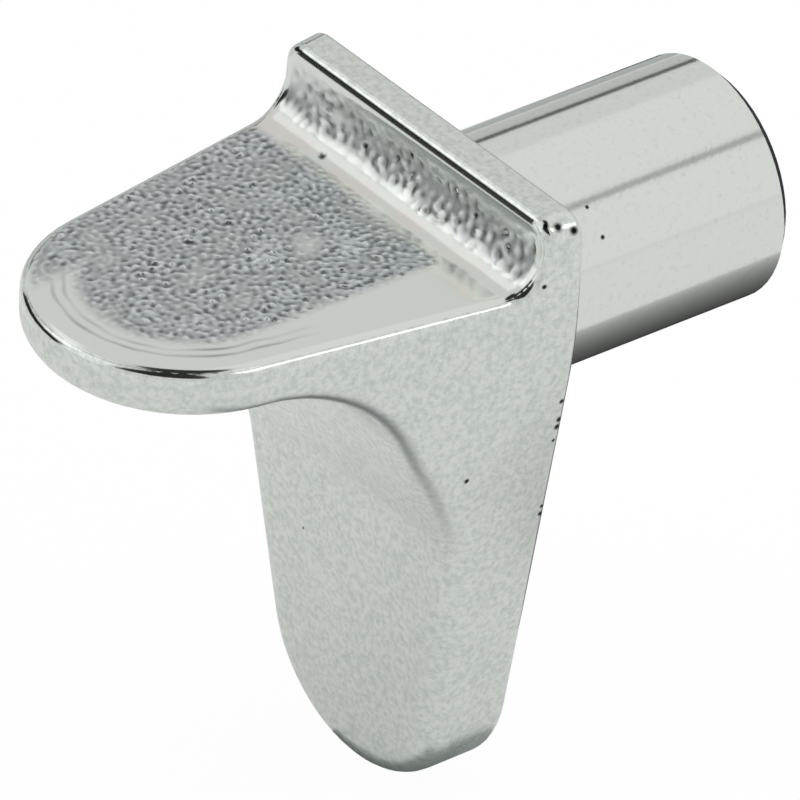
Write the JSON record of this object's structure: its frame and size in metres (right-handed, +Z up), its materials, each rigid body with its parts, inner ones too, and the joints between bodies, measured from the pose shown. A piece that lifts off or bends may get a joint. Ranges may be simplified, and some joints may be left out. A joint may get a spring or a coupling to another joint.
{
  "type": "shelf support pin",
  "caption": "Plug-in shelf support: a round pin, a flat tongue-shaped seat with a rear lip, and a gusset that runs into a downward tongue.",
  "frame": {"origin": "on the pin's axis, in the plane of the rear face that bears on the cabinet side", "axes": "+Y along the pin into the cabinet side, +Z up, +X to the right seen from the shelf; the seat points to -Y and the tongue to -Z"},
  "size_m": [0.0106, 0.02, 0.0178],
  "materials": {
    "nickel_zinc": "nickel-finished die-cast zinc, tumbled, with a cast grain on the seat and the lip's front"
  },
  "bodies": {
    "root": {"shelf_support": "nickel_zinc"}
  },
  "joints": []
}
